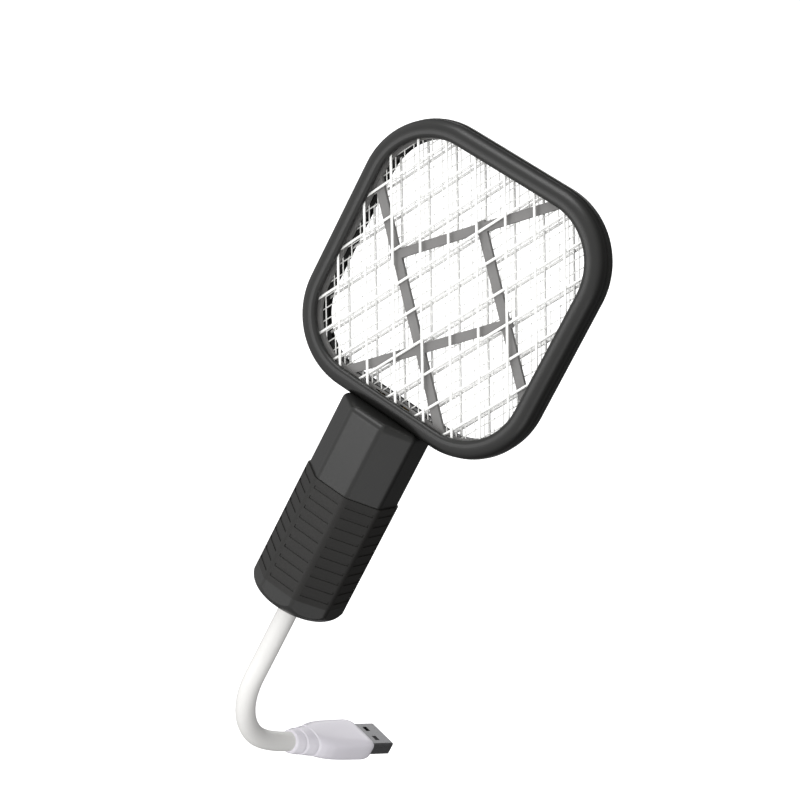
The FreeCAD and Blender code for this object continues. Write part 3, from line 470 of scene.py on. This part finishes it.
def made_by(tree, name, values):
    """Run a geometry tree with these named values and keep its result as a plain mesh."""
    maker = link(name, bpy.data.meshes.new(name))
    modifier = maker.modifiers.new(tree.name, "NODES")
    modifier.node_group = tree
    for item in tree.interface.items_tree:
        if item.in_out == "INPUT":
            modifier[item.identifier] = values[item.name]
    maker.update_tag()
    evaluated = maker.evaluated_get(bpy.context.evaluated_depsgraph_get())
    mesh = bpy.data.meshes.new_from_object(evaluated)
    maker.modifiers.remove(modifier)
    mesh.name = name
    maker.data = mesh
    return maker


# Zinc plate over drawn steel wire: a dull bloom makes it look nearly white, so little
# of the metal's own shine is left.
zinc_wire = metal("bright_zinc_wire", "#efefed", "#fafaf8", 0.5, 0.2, (1, 1, 0.3), metallic=0.2)

wire_net = wire_net_tree()
for node, pitch, wire, sink, wires, wave in (
    ("front_guard_net", GUARD_PITCH, GUARD_WIRE, GUARD_SINK, GUARD_WIRES, WIRE_WAVE),
    ("rear_guard_net", GUARD_PITCH, GUARD_WIRE, GUARD_SINK, GUARD_WIRES, WIRE_WAVE),
    ("high_voltage_net", LIVE_PITCH, LIVE_WIRE, LIVE_SINK, LIVE_WIRES, 0.0),
):
    low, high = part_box(node)
    net = made_by(wire_net, node + "_wires", {
        "Pitch": pitch, "Wire": wire, "Lean": NET_ANGLE, "Depth": low.y + wire / 2,
        "Layer Gap": wire - sink, "Half Width": (high.x - low.x) / 2,
        "Half Height": (high.z - low.z) / 2, "Corner": NET_CORNER,
        "Middle Height": (low.z + high.z) / 2, "Net Rise": NET_RISE, "Wires": wires,
        "Wave": wave, "Finish": zinc_wire,
    })
    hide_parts(node)
    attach(net, "swatter")

# ---- Spacers ----
# Two moulded ABS rings keep the live net off both guards. The front one is grey and
# carries four flat ribs that cross the opening like a pinwheel; the rear one is charcoal.

# Moulded ABS in mid grey, left as it came from the tool: dull, with a fine grain.
grey_abs = moulded("dull_grey_abs", "#6a6968", "#747372", 0.55, 0.3, 0.004)
dress("rib_spacer", grey_abs)
dress("rear_spacer", charcoal_abs)

# ---- Terminals and leads ----
# Stamped brass strips touch the nets, and thin PVC-insulated leads run from them to
# the board and from the board to the cable.

# Bare stamped brass, a little tarnished.
bare_brass = metal("bare_stamped_brass", "#a88440", "#c7a35a", 0.35, 0.4, (1, 1, 0.15))
# Extruded PVC insulation: smooth and slightly shiny.
black_pvc = moulded("black_pvc_insulation", "#0e0e0e", "#161616", 0.4, 0.2, 0.008)
red_pvc = moulded("red_pvc_insulation", "#9a1414", "#ab1c1c", 0.4, 0.2, 0.008)
dress("guard_terminal", bare_brass)
dress("live_terminal", bare_brass)
dress("guard_lead", black_pvc)
dress("supply_leads", black_pvc)
dress("live_lead", red_pvc)

# ---- Handle ----
# Two ABS shells form the octagonal barrel and the core below it. A soft sleeve with
# moulded grooves covers the core, and a domed cap closes the end round the cable.

# Soft moulded rubber: very dark, dull, with a fine matt grain.
soft_rubber = moulded("matt_soft_rubber", "#151413", "#1b1a18", 0.5, 0.35, 0.006,
                      {"Specular IOR Level": 0.3})
dress("handle_front_shell", charcoal_abs)
dress("handle_rear_shell", charcoal_abs)
dress("end_cap", charcoal_abs)
dress("grip_sleeve", soft_rubber)

# ---- Screws and collar ----
# Small cross-head steel screws, rolled and then zinc plated, and a crimped steel collar.

zinc_screw = metal("zinc_plated_screw", "#8f9092", "#abacae", 0.35, 0.25, (1, 1, 1))
dress("frame_screws", zinc_screw)
dress("shell_screws", zinc_screw)
dress("cable_collar", zinc_screw)

# ---- Button and switch ----
# An oval push-button of black ABS sits in a shallow dish on the back of the barrel and
# presses the plunger of a small tactile switch.

button_abs = moulded("fine_grained_black_abs", "#161616", "#1d1d1d", 0.4, 0.25, 0.01)
dress("power_button", button_abs)
dress("switch_plunger", black_nylon)
dress("push_switch", black_nylon)

# ---- Circuit board and its parts ----
# A glass-epoxy board carries the step-up transformer and the voltage multiplier.

green_mask = moulded("green_solder_mask", "#0c3d1c", "#125026", 0.3, 0.4, 0.01)
grey_ferrite = moulded("sintered_ferrite", "#232326", "#2e2e31", 0.6, 0.2, 0.02)
yellow_tape = moulded("yellow_polyester_tape", "#c39a1e", "#d8b030", 0.25, 0.8, 0.02)
red_dip = moulded("dipped_red_epoxy", "#8d1f14", "#a32a1c", 0.25, 1.2, 0.03)
blue_dip = moulded("dipped_blue_ceramic", "#1b4a9a", "#2458ab", 0.3, 0.8, 0.03)
tan_lacquer = moulded("tan_resistor_lacquer", "#b99467", "#c8a578", 0.35, 0.5, 0.02)
dress("circuit_board", green_mask)
dress("transformer_core", grey_ferrite)
dress("transformer_coil", yellow_tape)
dress("storage_capacitor", red_dip)
dress("multiplier_capacitors", blue_dip)
dress("multiplier_diodes", black_nylon)
dress("drive_transistor", black_nylon)
dress("bias_resistors", tan_lacquer)

# ---- Studio ----
# A white floor well below the plug and a white surround. The soft light is brightest
# from in front of the net and a little to its left, and weakest from behind it.

FLOOR_DROP = 0.6
FLOOR_REACH = 6.0
LIGHT_FROM = Vector((-0.25, -0.95, 0.15))
LIGHT_STRONG = 1.35
LIGHT_WEAK = 0.10
LIGHT_EDGE = 0.7
SURROUND = 1.05
PAPER_TONE = 0.8
WHITE = (1.0, 1.0, 1.0, 1.0)

floor_mesh = bmesh.new()
bmesh.ops.create_circle(floor_mesh, cap_ends=True, segments=64, radius=FLOOR_REACH)
bmesh.ops.translate(floor_mesh, verts=floor_mesh.verts, vec=(0, 0, cad_box[0].z - FLOOR_DROP))
floor_data = bpy.data.meshes.new("studio_floor")
floor_mesh.to_mesh(floor_data)
floor_mesh.free()
floor = link("studio_floor", floor_data)
# Matt white paper, lit from within a little, so that it shows no horizon.
white_paper = finish_of("matt_white_paper", {
    "Base Color": (PAPER_TONE, PAPER_TONE, PAPER_TONE, 1.0), "Roughness": 0.9,
    "Emission Color": WHITE, "Emission Strength": PAPER_TONE,
})[0]
floor_data.materials.append(white_paper)
floor.visible_diffuse = False
floor.visible_glossy = False

world = bpy.data.worlds.new("studio")
bpy.context.scene.world = world
world.use_nodes = True
sky = world.node_tree
sky.nodes.clear()
way = add_node(sky, "ShaderNodeTexCoord").outputs["Generated"]
facing = add_node(sky, "ShaderNodeVectorMath", {"operation": "DOT_PRODUCT"},
                  {0: way, 1: LIGHT_FROM})
strength = add_node(sky, "ShaderNodeMapRange", {"interpolation_type": "SMOOTHSTEP"},
                    {"Value": facing.outputs["Value"], "From Min": -LIGHT_EDGE,
                     "From Max": LIGHT_EDGE, "To Min": LIGHT_WEAK, "To Max": LIGHT_STRONG})
lighting = add_node(sky, "ShaderNodeBackground", None, {"Color": WHITE, "Strength": strength})
seen = add_node(sky, "ShaderNodeBackground", None, {"Color": WHITE, "Strength": SURROUND})
ray = add_node(sky, "ShaderNodeLightPath")
mix = add_node(sky, "ShaderNodeMixShader", None,
               {0: ray.outputs["Is Camera Ray"], 1: lighting, 2: seen})
add_node(sky, "ShaderNodeOutputWorld", None, {"Surface": mix})

for name, place, size, power in (
    ("key_softbox", (-0.35, -1.0, -0.1), 0.5, 2.5),
    ("side_softbox", (1.0, -0.45, -0.3), 0.5, 1.0),
    ("top_softbox", (-0.3, -0.3, 1.1), 0.6, 5.0),
    ("rear_strip", (-0.35, 0.95, 0.2), 0.4, 0.6),
):
    lamp_data = bpy.data.lights.new(name, "AREA")
    lamp_data.size = size
    lamp_data.energy = power
    lamp = link(name, lamp_data)
    lamp.location = place
    lamp.rotation_mode = "QUATERNION"
    lamp.rotation_quaternion = (Vector(place) - CAMERA_TARGET).to_track_quat("Z", "Y")

bpy.context.scene.view_settings.view_transform = "Standard"
